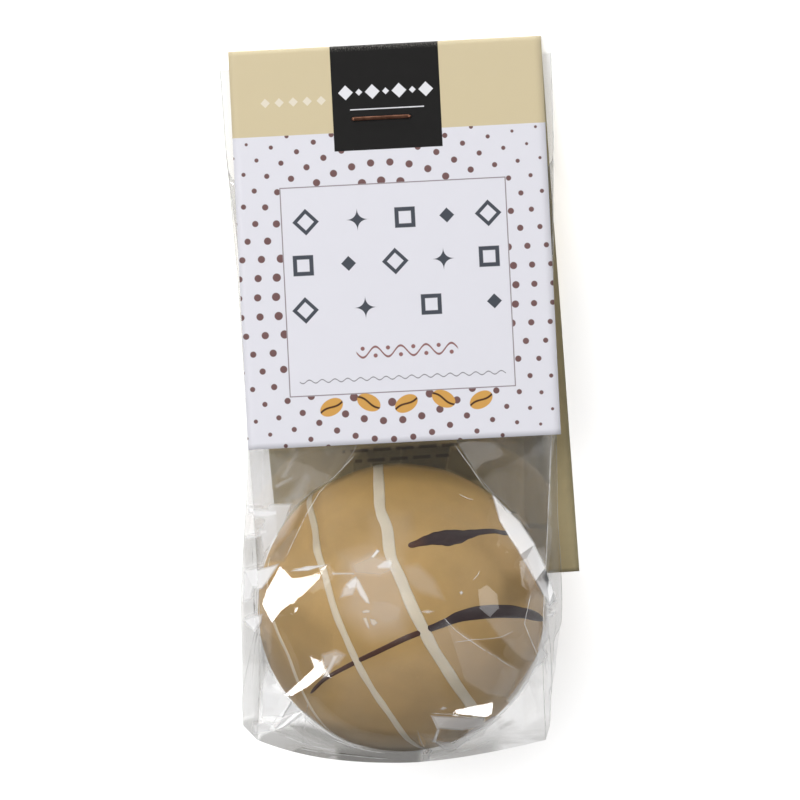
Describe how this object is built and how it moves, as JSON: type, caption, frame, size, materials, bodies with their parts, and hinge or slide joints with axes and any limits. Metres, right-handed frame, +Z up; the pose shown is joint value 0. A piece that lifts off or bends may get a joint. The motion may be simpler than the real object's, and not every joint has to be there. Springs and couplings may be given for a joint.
{
  "type": "hot chocolate sphere",
  "caption": "Clear gusseted bag holding a drizzled chocolate sphere, lying on its back, closed by a folded card header and a copper staple.",
  "frame": {"origin": "middle of the bounding box at the floor, under the pack as it lies on its back", "axes": "+Y from the bag's closed end toward the header's fold, +Z up through the shown side, +X to the right of the shown side"},
  "size_m": [0.0752, 0.1504, 0.0613],
  "materials": {
    "film": "clear glossy film",
    "card": "smooth coated board",
    "wire": "copper-coloured wire",
    "chocolate": "satin caramel chocolate",
    "white_drizzle": "satin white chocolate",
    "dark_drizzle": "satin dark chocolate"
  },
  "bodies": {
    "root": {"film_bag": "film", "header_card": "card", "staple": "wire"}
  },
  "joints": []
}
